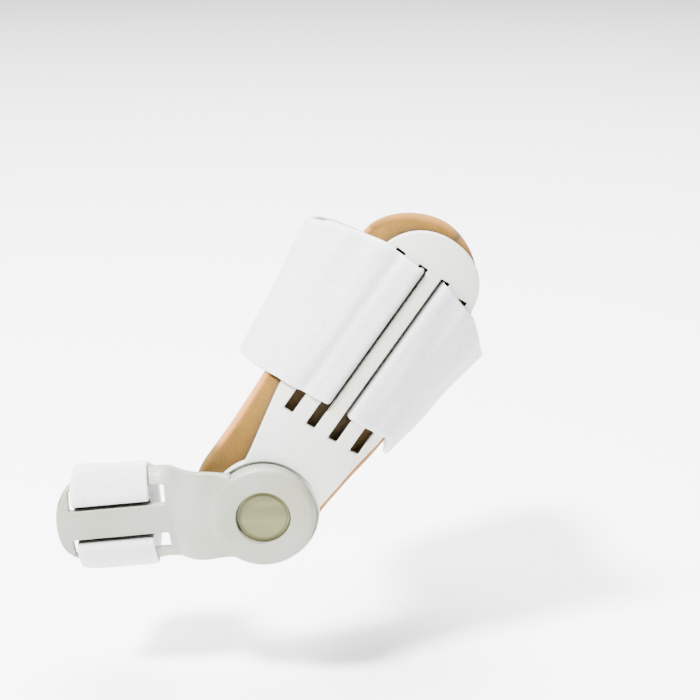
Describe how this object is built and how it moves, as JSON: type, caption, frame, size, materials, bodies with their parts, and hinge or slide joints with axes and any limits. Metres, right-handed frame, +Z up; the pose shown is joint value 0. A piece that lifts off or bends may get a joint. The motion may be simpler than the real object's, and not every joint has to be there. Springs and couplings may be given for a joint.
{
  "type": "bunion corrector",
  "caption": "Hinged bunion splint: a slotted foot arm and a toe arm on one rivet, a foam pad behind, and a strap loop for the foot and one for the big toe.",
  "frame": {"origin": "on the hinge axis, at the inner face of the foam pad, where the part rests on the side of the foot", "axes": "+Y along the hinge axis, into the foot and the strap loops; -X towards the toe end; +Z up"},
  "size_m": [0.1376, 0.0987, 0.1174],
  "materials": {
    "arm_plastic": "moulded off-white plastic, satin",
    "rivet": "champagne anodised, satin",
    "foam": "tan closed-cell foam, matt",
    "strap": "white brushed loop fabric, matt"
  },
  "bodies": {
    "foot_side": {"foot_arm": "arm_plastic", "foam_pad": "foam", "foot_strap": "strap", "hinge_rivet": "rivet"},
    "toe_side": {"toe_arm": "arm_plastic", "toe_strap": "strap"}
  },
  "joints": [
    {"name": "toe_hinge", "type": "hinge", "parent": "foot_side", "child": "toe_side", "pos_m": [0, 0, 0], "axis": [0, 1, 0], "range_deg": [-70, 25]}
  ]
}
